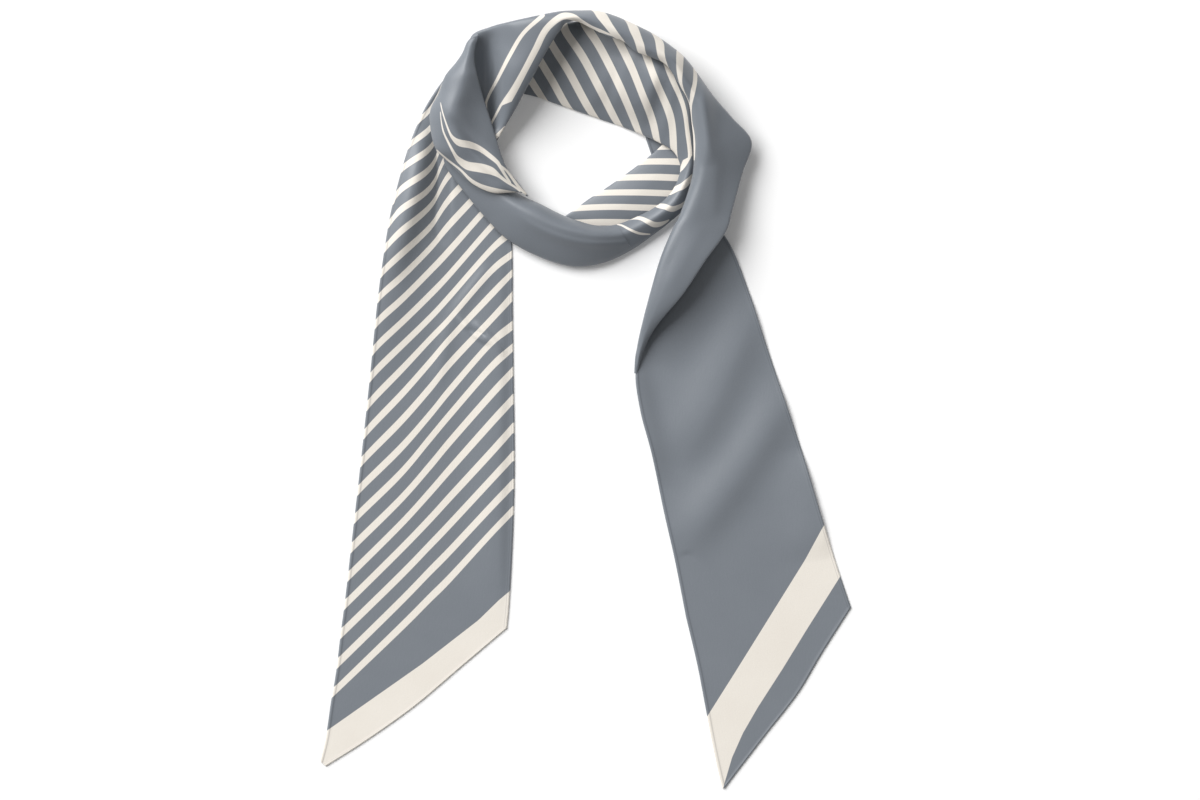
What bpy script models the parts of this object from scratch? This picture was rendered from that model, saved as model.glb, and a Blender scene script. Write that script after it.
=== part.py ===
"""A skinny silk scarf, wound one and a half times into a neck loop and laid flat, with its two ends below.

Metres, +Z up, the surface it lies on at z = 0. Each stretch of the ribbon is a cloth wall, lofted
through a short table of sections. Plan sizes and heights in the tables are millimetres.
"""

import bpy
import numpy as np

MM = 0.001
WALL = 1.2  # the folded silk with its air, as one wall
LOW = WALL / 2  # height of the wall's middle where it lies on the surface
GAP = 0.04  # part of a section's step that is left open where one stretch becomes the next

PLAIN = (0.19, 0.21, 0.23)  # slate grey
STRIPED = (0.30, 0.31, 0.32)  # slate grey and cream, mixed
ROUGHNESS = 0.45
CREASE_ANGLE = 0.6  # radians; sharper edges are shaded sharp

# Flat ends. left and right are the two long edges, top to bottom; corner breaks the right edge.
END_COLUMNS = ("left_x", "left_y", "right_x", "right_y", "left_z", "right_z", "corner")
TAIL_STRIPED = (
    (-81.0, 227.0, -66.0, 201.0, 3.0, 1.0, 0),
    (-92.3, 215.7, -68.0, 184.0, 2.0, 0.6, 0),
    (-100.5, 205.0, -68.0, 169.7, 1.0, LOW, 0),
    (-109.0, 190.3, -64.0, 151.7, LOW, LOW, 0),
    (-118.0, 167.7, -56.0, 129.7, LOW, LOW, 0),
    (-126.0, 139.7, -50.0, 111.7, LOW, LOW, 0),
    (-131.3, 116.3, -48.7, 91.7, LOW, LOW, 0),
    (-138.0, 71.0, -48.6, 59.7, LOW, LOW, 0),
    (-143.7, 15.7, -48.0, 13.0, LOW, LOW, 0),
    (-149.7, -40.3, -47.3, -40.3, LOW, LOW, 0),
    (-155.0, -87.0, -48.3, -87.0, LOW, LOW, 0),
    (-160.3, -133.7, -50.7, -133.7, LOW, LOW, 0),
    (-163.0, -153.7, -52.3, -152.3, LOW, LOW, 1),
    (-166.3, -181.7, -82.3, -177.7, LOW, LOW, 0),
    (-169.7, -201.7, -113.7, -204.3, LOW, LOW, 0),
    (-173.0, -224.0, -146.0, -227.3, LOW, LOW, 0),
    (-177.0, -241.0, -173.0, -244.5, LOW, LOW, 0),
)
TAIL_PLAIN = (
    (61.0, 117.0, 88.0, 116.0, LOW, LOW, 0),
    (54.0, 99.7, 98.3, 99.7, LOW, LOW, 0),
    (46.3, 69.7, 109.7, 69.7, LOW, LOW, 0),
    (39.7, 43.0, 119.0, 41.0, LOW, LOW, 0),
    (33.4, 19.0, 127.0, 17.0, LOW, LOW, 0),
    (36.6, -7.7, 137.0, -12.3, LOW, LOW, 0),
    (44.3, -37.0, 147.0, -43.0, LOW, LOW, 0),
    (52.3, -75.0, 157.7, -79.0, LOW, LOW, 0),
    (59.7, -107.7, 168.3, -113.0, LOW, LOW, 0),
    (67.0, -145.0, 177.0, -138.7, LOW, LOW, 1),
    (74.3, -175.7, 157.7, -169.0, LOW, LOW, 0),
    (79.7, -203.7, 141.7, -195.7, LOW, LOW, 0),
    (84.3, -228.3, 121.0, -222.3, LOW, LOW, 0),
    (88.3, -247.0, 103.0, -245.7, LOW, LOW, 0),
    (91.2, -259.0, 93.2, -258.6, LOW, LOW, 0),
)

# Rolled stretches. in and out are the silhouettes on the hole's side and on the far side; lean is
# where the crest lies between them; tuck is how far the cloth turns under, and under at what height.
ROLL_COLUMNS = (
    "in_x", "in_y", "out_x", "out_y",
    "tuck_in", "under_in", "in_z", "lean", "crest_z", "out_z", "tuck_out", "under_out",
)
ROLL_ACROSS = 12  # steps across a rolled section, three to each of its spans
TWIST_ROW, BACK_ROW = 8, 14  # rows of FIRST_TURN where one stretch becomes the next
OUTER_ROW, SHOULDER_ROW = 8, 16  # the same in SECOND_TURN
FIRST_TURN = (
    # the front band, from the left
    (-74.0, 176.0, -95.0, 166.0, 6.0, 5.5, 8.0, 0.40, 11.0, 8.0, 6.0, 5.0),
    (-65.0, 163.5, -92.0, 154.5, 7.0, 5.5, 8.5, 0.40, 12.0, 8.0, 7.0, 4.5),
    (-58.0, 150.5, -81.7, 140.3, 8.0, 4.0, 8.5, 0.38, 13.5, 7.5, 8.0, 3.6),
    (-47.5, 138.5, -67.0, 122.3, 8.0, 3.0, 8.5, 0.34, 15.5, 6.5, 8.0, 2.6),
    (-29.7, 129.7, -50.3, 106.3, 9.0, 2.0, 9.5, 0.28, 19.0, 7.0, 8.0, 2.2),
    (-17.0, 123.3, -27.0, 94.3, 9.0, 3.0, 9.0, 0.27, 20.0, 6.5, 8.0, LOW),
    (-5.7, 119.0, -7.0, 89.3, 7.0, 5.5, 9.5, 0.27, 20.0, 6.0, 8.0, LOW),
    (7.0, 115.7, 12.3, 91.7, 6.0, 6.0, 9.5, 0.30, 18.5, 5.5, 7.0, LOW),
    (21.0, 116.3, 31.0, 100.3, 4.0, 6.0, 9.0, 0.40, 14.5, 4.5, 6.0, 0.8),
    # the twist, from TWIST_ROW
    (36.3, 122.3, 46.3, 111.0, 3.0, 6.0, 9.0, 0.45, 13.5, 5.5, 5.0, 1.5),
    (46.3, 127.7, 55.7, 118.3, 3.0, 6.0, 9.0, 0.45, 13.5, 6.0, 4.0, 2.0),
    (55.0, 135.0, 65.0, 127.0, 3.0, 6.0, 9.0, 0.45, 13.5, 6.0, 3.5, 2.0),
    (60.3, 143.0, 70.5, 138.8, 3.0, 6.0, 9.0, 0.45, 13.5, 6.0, 3.5, 2.0),
    (63.3, 151.7, 74.3, 151.7, 3.0, 6.0, 9.0, 0.50, 14.0, 7.0, 4.0, 2.5),
    (63.0, 158.3, 75.5, 165.0, 3.0, 6.0, 9.0, 0.55, 15.0, 9.0, 5.0, 4.0),
    # the back, from BACK_ROW
    (58.0, 166.7, 74.5, 183.0, 3.0, 6.4, 9.0, 0.60, 18.0, 14.0, 6.0, 6.0),
    (45.7, 174.6, 70.0, 203.0, 3.0, 4.0, 6.4, 0.75, 23.0, 20.0, 6.0, 10.0),
    (27.7, 183.0, 57.7, 222.3, 3.0, LOW, 3.0, 0.78, 24.5, 21.5, 6.0, 11.0),
    (9.7, 189.7, 40.5, 235.5, 3.0, LOW, 2.6, 0.80, 22.0, 19.0, 7.0, 8.0),
    (-16.3, 199.0, 18.5, 248.0, 3.0, LOW, 2.8, 0.80, 17.5, 15.0, 7.0, 6.0),
    (-32.3, 204.3, -6.0, 251.5, 3.0, LOW, 2.8, 0.80, 12.0, 10.0, 7.0, 4.0),
    (-47.0, 206.3, -31.0, 246.0, 3.0, LOW, 2.8, 0.78, 9.0, 7.0, 7.0, 2.5),
    (-58.0, 204.5, -60.0, 234.0, 3.0, LOW, 2.8, 0.70, 6.0, 4.5, 6.0, 1.6),
    (-65.4, 201.5, -80.4, 227.5, 3.0, LOW, 2.8, 0.60, 4.2, 3.4, 4.0, 1.0),
)
SECOND_TURN = (
    # the flap
    (-61.0, 169.0, -75.0, 196.0, 4.0, 12.6, 15.0, 0.35, 16.5, 13.0, 3.0, 10.5),
    (-55.3, 179.5, -77.0, 210.0, 6.0, 13.5, 17.5, 0.30, 20.0, 14.0, 3.0, 11.0),
    (-46.3, 194.3, -76.0, 224.0, 8.0, 16.0, 22.0, 0.28, 26.5, 18.0, 3.0, 14.0),
    (-40.3, 205.7, -74.5, 240.0, 9.0, 20.0, 26.5, 0.28, 31.5, 23.0, 3.0, 18.0),
    (-35.0, 215.0, -62.5, 246.5, 9.0, 24.0, 29.5, 0.30, 34.5, 26.5, 4.0, 19.0),
    (-28.3, 227.7, -50.5, 250.3, 9.0, 28.0, 33.0, 0.32, 37.5, 34.0, 5.0, 21.0),
    (-21.7, 239.0, -37.5, 253.6, 7.0, 31.0, 35.5, 0.36, 39.5, 36.8, 6.0, 18.0),
    (-17.0, 245.5, -26.0, 256.2, 4.0, 33.0, 37.0, 0.42, 40.5, 36.0, 6.0, 15.0),
    (-13.5, 250.0, -15.5, 258.0, 2.5, 34.0, 37.0, 0.45, 40.5, 33.0, 6.0, 12.0),
    # the outside of the back, from OUTER_ROW
    (-5.7, 251.6, -4.5, 258.5, 2.5, 34.0, 37.0, 0.45, 40.0, 28.0, 4.5, 10.0),
    (4.3, 247.0, 7.7, 258.3, 2.5, 34.5, 37.0, 0.50, 40.0, 27.0, 5.0, 5.5),
    (15.0, 241.7, 20.3, 254.7, 2.5, 34.5, 37.0, 0.50, 39.5, 26.0, 6.0, 3.0),
    (24.3, 239.0, 33.0, 249.0, 2.5, 34.0, 36.5, 0.45, 39.0, 26.0, 6.0, 2.0),
    (33.7, 231.7, 45.0, 243.0, 2.5, 33.0, 35.5, 0.45, 38.0, 25.0, 6.0, 2.0),
    (44.3, 227.7, 55.0, 236.3, 2.5, 31.5, 34.0, 0.45, 37.0, 24.0, 6.0, 2.0),
    (54.3, 222.3, 65.0, 228.3, 2.5, 30.0, 33.0, 0.45, 35.5, 22.0, 6.0, 2.0),
    (63.0, 209.0, 73.7, 217.7, 2.5, 27.0, 30.5, 0.42, 33.0, 18.0, 6.0, 2.0),
    # the shoulder, from SHOULDER_ROW
    (69.0, 197.7, 85.0, 201.7, 3.0, 23.0, 26.0, 0.36, 30.5, 20.0, 6.0, 10.0),
    (71.0, 184.3, 97.0, 187.2, 4.0, 20.3, 22.5, 0.27, 28.5, 17.5, 5.0, 13.5),
    (72.3, 169.7, 109.0, 171.5, 5.0, 15.5, 20.0, 0.23, 27.0, 14.0, 4.0, 11.2),
    (71.4, 148.7, 103.2, 150.5, 5.0, 11.0, 19.0, 0.25, 26.0, 15.0, 4.0, 12.2),
    (63.7, 124.3, 96.6, 126.3, 5.0, 6.5, 20.5, 0.28, 25.5, 18.5, 4.0, 15.6),
    (58.7, 114.3, 92.0, 111.7, 5.0, 4.6, 21.0, 0.28, 25.0, 20.5, 4.0, 17.6),
    (50.3, 94.3, 79.0, 93.0, 5.0, 3.2, 20.5, 0.30, 23.8, 21.0, 3.0, 18.4),
    (43.0, 69.7, 64.3, 70.3, 5.0, 3.6, 17.0, 0.34, 20.5, 18.5, 3.0, 15.8),
    (37.0, 46.3, 47.0, 49.0, 3.0, 4.0, 10.6, 0.42, 13.8, 12.6, 2.5, 10.0),
    (34.1, 31.0, 38.2, 32.4, 1.2, 4.0, 5.4, 0.50, 7.6, 6.4, 1.2, 5.2),
    (33.0, 17.5, 34.2, 18.0, 0.3, 2.4, 2.9, 0.50, 3.3, 2.9, 0.3, 2.4),
)
INNER_TURN = (
    (54.0, 172.0, 68.0, 170.5, 2.0, 2.2, 3.6, 0.50, 3.8, 3.6, 2.0, 2.2),
    (48.3, 166.3, 68.3, 161.0, 2.5, 2.2, 3.8, 0.50, 4.4, 3.8, 2.0, 2.2),
    (39.7, 159.0, 65.8, 149.0, 3.0, 1.9, 4.0, 0.45, 5.4, 3.6, 2.0, 2.2),
    (27.7, 149.7, 60.5, 137.0, 3.0, 0.8, 4.0, 0.45, 6.2, 3.4, 2.0, 2.2),
    (15.0, 140.7, 51.5, 127.0, 3.0, LOW, 4.0, 0.45, 6.4, 3.4, 2.0, 2.0),
    (3.0, 133.0, 39.5, 119.5, 3.0, LOW, 3.6, 0.45, 6.0, 3.0, 2.0, 1.6),
    (-6.3, 126.3, 24.0, 113.0, 3.0, LOW, 3.0, 0.45, 4.6, 2.6, 2.0, 1.2),
    (-13.0, 121.7, 10.0, 110.0, 2.5, LOW, 2.2, 0.45, 2.8, 2.0, 2.0, 0.8),
    (-16.5, 118.0, -2.0, 109.0, 2.0, LOW, 1.6, 0.45, 1.8, 1.5, 1.5, 0.6),
)
LEFT_TURN = (
    (-38.3, 135.4, -43.5, 139.0, 1.5, 14.5, 16.5, 0.50, 19.0, 18.2, 1.5, 17.0),
    (-45.7, 145.0, -61.2, 138.0, 3.0, 15.5, 18.0, 0.45, 22.5, 18.8, 3.0, 17.0),
    (-52.3, 153.0, -76.8, 145.4, 4.0, 15.8, 19.5, 0.42, 25.5, 18.6, 4.0, 15.6),
    (-56.3, 161.7, -90.0, 157.6, 5.0, 16.6, 20.0, 0.50, 29.0, 17.0, 5.0, 13.6),
    (-59.7, 171.7, -99.0, 167.0, 5.0, 17.6, 20.5, 0.54, 31.5, 19.0, 5.0, 12.0),
    (-63.0, 182.3, -102.7, 181.7, 5.0, 18.6, 21.5, 0.58, 32.5, 20.0, 6.0, 12.0),
    (-66.3, 193.0, -102.5, 193.0, 5.0, 20.0, 23.0, 0.56, 33.5, 21.5, 6.0, 13.0),
    (-69.7, 204.3, -97.0, 204.0, 4.0, 22.5, 26.0, 0.50, 34.0, 24.0, 5.0, 14.0),
    (-72.3, 214.3, -93.0, 215.0, 3.0, 24.5, 28.0, 0.44, 33.0, 25.0, 5.0, 16.0),
    (-74.0, 223.0, -85.7, 224.3, 2.5, 25.0, 27.4, 0.48, 31.2, 25.5, 4.0, 18.5),
    (-74.3, 229.7, -81.5, 230.6, 2.0, 23.8, 25.9, 0.50, 28.6, 25.0, 2.5, 20.5),
    (-73.4, 235.2, -78.6, 237.4, 1.6, 22.6, 23.8, 0.50, 25.6, 23.8, 2.0, 22.0),
    (-72.4, 239.4, -75.0, 240.8, 1.0, 24.3, 24.7, 0.50, 25.3, 24.7, 1.2, 24.3),
    (-71.2, 242.2, -71.6, 242.8, 0.2, 25.5, 25.7, 0.50, 25.8, 25.7, 0.2, 25.5),
)
COLLAR_UNDER = (
    (39.2, 177.5, 60.0, 174.0, LOW, LOW, 0),
    (41.0, 171.5, 58.0, 166.0, LOW, LOW, 0),
    (44.5, 161.5, 60.0, 156.0, LOW, LOW, 0),
)

# Folds: a line in plan, its height at both ends, how wide it falls away on its left and right, and how
# far its middle bows to its right.
FOLD_COLUMNS = ("x0", "y0", "x1", "y1", "height0", "height1", "left_width", "right_width", "bow")
TAIL_STRIPED_FOLDS = (
    (-103.7, 176.0, -141.0, 3.0, 8.5, 1.5, 19.0, 15.0, 5.5),
    (-108.0, 192.0, -133.0, 73.0, 9.5, 3.0, 9.0, 12.0, -4.0),
    (-94.0, 186.0, -97.0, 98.0, -4.5, -2.5, 5.0, 8.0, 0.0),
)
TAIL_PLAIN_FOLDS = (
    (98.0, 128.0, 44.0, 36.0, 2.5, 2.5, 20.0, 12.0, 0.0),
    (108.0, 74.0, 53.0, -47.0, 3.4, 3.2, 14.0, 22.0, -5.0),
    (139.0, 17.0, 53.0, -107.0, 3.6, 3.4, 13.0, 18.0, -4.0),
)
COLLAR_FLAP_FOLDS = ((-67.5, 246.0, -62.5, 168.0, -15.0, -9.0, 7.5, 7.0, 0.0),)
COLLAR_LEFT_FOLDS = (
    (-80.0, 218.0, -68.0, 150.0, -3.6, -3.2, 11.0, 11.0, 0.0),
    (-92.0, 190.0, -56.0, 151.0, -2.2, -2.6, 3.5, 4.5, 0.0),
    (-96.0, 178.0, -56.0, 140.5, -2.0, -2.4, 3.5, 4.0, 0.0),
)
COLLAR_BACK_FOLDS = ((24.0, 188.0, 54.0, 223.0, 5.0, 5.0, 20.0, 11.0, 0.0),)


def even_steps(rows, count, corners=()):
    """Places along a table of rows, in row numbers, with a step on each corner row."""
    stops = [0, *corners, rows - 1]
    places = [0.0]
    for first, last in zip(stops[:-1], stops[1:]):
        steps = max(1, round(count * (last - first) / (rows - 1)))
        places += list(np.linspace(first, last, steps + 1)[1:])
    return np.array(places)


def spline(rows, places, corners=()):
    """A smooth curve through the rows: cubic pieces whose slope at a row is half the step across it.

    At an end or a corner the slope is the next step's own, so the curve may turn sharply there.
    """
    step = np.diff(rows, axis=0)
    slope_in = np.concatenate([step[:1], (step[:-1] + step[1:]) / 2, step[-1:]])
    slope_out = slope_in.copy()
    for row in corners:
        slope_in[row] = step[row - 1]
        slope_out[row] = step[row]
    first = np.clip(np.floor(places).astype(int), 0, len(rows) - 2)
    t = (places - first).reshape((-1,) + (1,) * (rows.ndim - 1))
    return (
        (2 * t**3 - 3 * t**2 + 1) * rows[first]
        + (t**3 - 2 * t**2 + t) * slope_out[first]
        + (3 * t**2 - 2 * t**3) * rows[first + 1]
        + (t**3 - t**2) * slope_in[first + 1]
    )


def column(table, columns, *names):
    """The named columns of a table, as one array with a row for each section."""
    return np.array([[row[columns.index(name)] for name in names] for row in table])


def end_surface(table, along, across):
    """The middle of a flat end: straight sections between its two long edges."""
    corners = [i for i, row in enumerate(table) if row[END_COLUMNS.index("corner")]]
    edges = column(
        table, END_COLUMNS, "left_x", "left_y", "left_z", "right_x", "right_y", "right_z"
    )
    edges = spline(edges, even_steps(len(table), along, corners), corners)
    t = np.linspace(0, 1, across + 1)[None, :, None]
    return edges[:, None, :3] * (1 - t) + edges[:, None, 3:] * t


def roll_net(table):
    """Five points across each section: tucked edge, near silhouette, crest, far silhouette, tucked edge."""
    near = column(table, ROLL_COLUMNS, "in_x", "in_y")
    far = column(table, ROLL_COLUMNS, "out_x", "out_y")
    width = np.linalg.norm(far - near, axis=1)
    get = {name: column(table, ROLL_COLUMNS, name)[:, 0] for name in ROLL_COLUMNS}
    places = (get["tuck_in"] / width, 0 * width, get["lean"], 0 * width + 1, 1 - get["tuck_out"] / width)
    heights = (get["under_in"], get["in_z"], get["crest_z"], get["out_z"], get["under_out"])
    net = [
        np.column_stack([near + (far - near) * place[:, None], height])
        for place, height in zip(places, heights)
    ]
    return np.stack(net, axis=1)


def roll_surface(table, along, first=0, last=None):
    """The middle of a rolled stretch, from one row of its table to another: splines both ways."""
    last = len(table) - 1 if last is None else last
    rails = spline(roll_net(table), np.linspace(first, last, along + 1))
    across = np.linspace(0, rails.shape[1] - 1, ROLL_ACROSS + 1)
    return np.swapaxes(spline(np.swapaxes(rails, 0, 1), across), 0, 1)


def folded(points, folds):
    """Lifts a surface along each line in plan: a bell across it, unequal on its sides, fading at its ends."""
    points = points.copy()
    for x0, y0, x1, y1, height0, height1, left_width, right_width, bow in folds:
        line = np.array([x1 - x0, y1 - y0])
        length = np.linalg.norm(line)
        line = line / length
        away = points[..., :2] - np.array([x0, y0])
        along = (away @ line) / length
        off = away[..., 0] * line[1] - away[..., 1] * line[0] - bow * 4 * along * (1 - along)
        width = np.where(off < 0, left_width, right_width)
        height = height0 + (height1 - height0) * np.clip(along, 0, 1)
        fade = np.clip(1 - (2 * along - 1) ** 4, 0, 1) ** 2
        points[..., 2] += height * np.exp(-((off / width) ** 2)) * fade
    points[..., 2] = np.maximum(points[..., 2], LOW)
    return points


def wall(name, points, colour):
    """A closed wall of even thickness about a grid of points, as one object with its own material."""
    down = np.gradient(points, axis=0)
    over = np.gradient(points, axis=1)
    normal = np.cross(over, down)
    normal = normal / np.linalg.norm(normal, axis=2, keepdims=True)
    sides = np.stack([points + normal * WALL / 2, points - normal * WALL / 2])
    sides[..., 2] = np.maximum(sides[..., 2], 0)
    upper, lower = np.arange(sides[..., 0].size).reshape(sides.shape[:3])
    border = np.concatenate([upper[:-1, 0], upper[-1, :-1], upper[:0:-1, -1], upper[0, :0:-1]])
    below = border + upper.size
    rim = np.column_stack([np.roll(border, -1), np.roll(below, -1), below, border])
    faces = np.concatenate([cells(upper)[:, ::-1], cells(lower), rim])
    mesh = bpy.data.meshes.new(name)
    mesh.from_pydata((sides.reshape(-1, 3) * MM).tolist(), [], faces.tolist())
    mesh.shade_smooth()
    mesh.set_sharp_from_angle(angle=CREASE_ANGLE)
    mesh.materials.append(silk(name + "_silk", colour))
    piece = bpy.data.objects.new(name, mesh)
    bpy.context.scene.collection.objects.link(piece)


def cells(grid):
    """The four corners of each cell of a grid of point numbers."""
    corners = [grid[:-1, :-1], grid[1:, :-1], grid[1:, 1:], grid[:-1, 1:]]
    return np.stack(corners, axis=-1).reshape(-1, 4)


def silk(name, colour):
    """A plain silk finish."""
    material = bpy.data.materials.new(name)
    material.use_nodes = True
    shader = material.node_tree.nodes["Principled BSDF"]
    shader.inputs["Base Color"].default_value = (*colour, 1)
    shader.inputs["Roughness"].default_value = ROUGHNESS
    shader.inputs["Metallic"].default_value = 0.0
    return material


for old in list(bpy.data.objects):
    bpy.data.objects.remove(old, do_unlink=True)

wall("tail_striped", folded(end_surface(TAIL_STRIPED, 27, 11), TAIL_STRIPED_FOLDS), STRIPED)
wall("tail_plain", folded(end_surface(TAIL_PLAIN, 26, 10), TAIL_PLAIN_FOLDS), PLAIN)
wall("collar_under", end_surface(COLLAR_UNDER, 4, 4), PLAIN)

# The first turn: the band across the front, the narrow twist at the right, the back.
wall("collar_front", roll_surface(FIRST_TURN, 20, 0, TWIST_ROW), PLAIN)
wall("collar_twist", roll_surface(FIRST_TURN, 10, TWIST_ROW + GAP, BACK_ROW), STRIPED)
back = roll_surface(FIRST_TURN, 18, BACK_ROW + 1.5 * GAP)
wall("collar_back", folded(back, COLLAR_BACK_FOLDS), STRIPED)
wall("collar_inner", roll_surface(INNER_TURN, 12), STRIPED)

# The second turn: up the left, over the top left, along the outside of the back, down the right.
wall("collar_left", folded(roll_surface(LEFT_TURN, 20), COLLAR_LEFT_FOLDS), STRIPED)
wall("collar_flap", folded(roll_surface(SECOND_TURN, 18, 0, OUTER_ROW), COLLAR_FLAP_FOLDS), STRIPED)
wall("collar_outer", roll_surface(SECOND_TURN, 14, OUTER_ROW + 2.4 * GAP, SHOULDER_ROW), STRIPED)
wall("shoulder_right", roll_surface(SECOND_TURN, 20, SHOULDER_ROW + GAP), PLAIN)
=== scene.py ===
"""A skinny silk scarf, wound one and a half times into a neck loop and laid flat, with its two ends below.

Each stretch of the ribbon is a thin shell of folded silk on the form of its solid in the frame: the
same sections, a finer grid, and the creases the cloth holds. Stripes are printed by two attributes.
stripe counts the diagonal stripes across the cloth, whole numbers on the middle of each. print is how
far, in millimetres, a point lies inside a border or a placed stripe. A third attribute, hem, is
how far it lies from the nearest long edge, for the painted shadow of the stitch line.

Plan sizes and heights in the tables are millimetres.
"""

import bpy
import numpy as np
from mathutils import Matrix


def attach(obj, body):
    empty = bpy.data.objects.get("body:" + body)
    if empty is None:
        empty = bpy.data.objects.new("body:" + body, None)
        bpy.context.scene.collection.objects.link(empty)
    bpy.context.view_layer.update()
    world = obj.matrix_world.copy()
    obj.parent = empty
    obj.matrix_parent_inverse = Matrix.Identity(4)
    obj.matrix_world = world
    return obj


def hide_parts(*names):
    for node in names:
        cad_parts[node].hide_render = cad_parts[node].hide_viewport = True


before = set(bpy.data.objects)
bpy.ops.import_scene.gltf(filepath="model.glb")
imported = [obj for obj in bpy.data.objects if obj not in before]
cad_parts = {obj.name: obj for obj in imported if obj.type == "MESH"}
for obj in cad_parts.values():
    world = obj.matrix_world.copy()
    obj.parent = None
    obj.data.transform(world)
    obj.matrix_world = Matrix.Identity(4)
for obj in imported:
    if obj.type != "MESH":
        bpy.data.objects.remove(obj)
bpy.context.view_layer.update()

MM = 0.001
LOW = 0.6  # height of the cloth's middle where it lies on the surface

# The shell. These are in millimetres, but for the angle.
SILK = 0.35  # half the thickness of the folded silk
HEM = 0.28  # how much more its half thickness is at the middle of a rolled hem
HEM_MIDDLE = 1.1  # from the edge to the middle of the hem
HEM_SPREAD = HEM_MIDDLE * 0.75  # where the hem's bell has fallen to 1/e
RIM = 0.5  # how far in from its edge the cloth has rounded to its full thickness
RIM_START = 0.02  # the share of the rim that it starts at, so that the edge isn't a knife's
STITCHES = 2.0  # how far in from the edge the stitch line runs
SHARP = 1.0  # radians: a fold sharper than this is shaded as an edge

# The grids.
END_STEP = 1.25  # cell size of the flat ends along the ribbon, in millimetres
ROLL_STEP = 0.9  # and of the rolled stretches
END_CELLS = 76  # cells across a flat end
HEM_PLACES = (0.0, 0.2, 0.45, 0.8, 1.2, 1.7, 2.4, 3.4)  # millimetres in from an edge, across its hem
NARROW = 16  # where a section is narrower than this, its hems' places are drawn closer together
TUCK_CELLS, FACE_CELLS = 9, 36  # across a roll's tucked side, and from its silhouette to its crest

# The prints.
PLAIN = 0.5  # a stripe number half way between two stripes, where nothing is printed
OUTER_START, OUTER_STOP = 4.5, 7.5  # the numbers that the outer turn's stripes start and stop at
END_START = -0.5  # the number that the striped end's stripes start at, near its foot
NO_PRINT = -5.0  # print's value, in millimetres, where there is no placed stripe or border

# Flat ends. left and right are the two long edges, top to bottom; corner breaks the right edge.
END_COLUMNS = ("left_x", "left_y", "right_x", "right_y", "left_z", "right_z", "corner")
TAIL_STRIPED = (
    (-81.0, 227.0, -66.0, 201.0, 3.0, 1.0, 0),
    (-92.3, 215.7, -68.0, 184.0, 2.0, 0.6, 0),
    (-100.5, 205.0, -68.0, 169.7, 1.0, LOW, 0),
    (-109.0, 190.3, -64.0, 151.7, LOW, LOW, 0),
    (-118.0, 167.7, -56.0, 129.7, LOW, LOW, 0),
    (-126.0, 139.7, -50.0, 111.7, LOW, LOW, 0),
    (-131.3, 116.3, -48.7, 91.7, LOW, LOW, 0),
    (-138.0, 71.0, -48.6, 59.7, LOW, LOW, 0),
    (-143.7, 15.7, -48.0, 13.0, LOW, LOW, 0),
    (-149.7, -40.3, -47.3, -40.3, LOW, LOW, 0),
    (-155.0, -87.0, -48.3, -87.0, LOW, LOW, 0),
    (-160.3, -133.7, -50.7, -133.7, LOW, LOW, 0),
    (-163.0, -153.7, -52.3, -152.3, LOW, LOW, 1),
    (-166.3, -181.7, -82.3, -177.7, LOW, LOW, 0),
    (-169.7, -201.7, -113.7, -204.3, LOW, LOW, 0),
    (-173.0, -224.0, -146.0, -227.3, LOW, LOW, 0),
    (-177.0, -241.0, -173.0, -244.5, LOW, LOW, 0),
)
TAIL_PLAIN = (
    (61.0, 117.0, 88.0, 116.0, LOW, LOW, 0),
    (54.0, 99.7, 98.3, 99.7, LOW, LOW, 0),
    (46.3, 69.7, 109.7, 69.7, LOW, LOW, 0),
    (39.7, 43.0, 119.0, 41.0, LOW, LOW, 0),
    (33.4, 19.0, 127.0, 17.0, LOW, LOW, 0),
    (36.6, -7.7, 137.0, -12.3, LOW, LOW, 0),
    (44.3, -37.0, 147.0, -43.0, LOW, LOW, 0),
    (52.3, -75.0, 157.7, -79.0, LOW, LOW, 0),
    (59.7, -107.7, 168.3, -113.0, LOW, LOW, 0),
    (67.0, -145.0, 177.0, -138.7, LOW, LOW, 1),
    (74.3, -175.7, 157.7, -169.0, LOW, LOW, 0),
    (79.7, -203.7, 141.7, -195.7, LOW, LOW, 0),
    (84.3, -228.3, 121.0, -222.3, LOW, LOW, 0),
    (88.3, -247.0, 103.0, -245.7, LOW, LOW, 0),
    (91.2, -259.0, 93.2, -258.6, LOW, LOW, 0),
)
COLLAR_UNDER = (
    (39.2, 177.5, 60.0, 174.0, LOW, LOW, 0),
    (41.0, 171.5, 58.0, 166.0, LOW, LOW, 0),
    (44.5, 161.5, 60.0, 156.0, LOW, LOW, 0),
)

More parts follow.
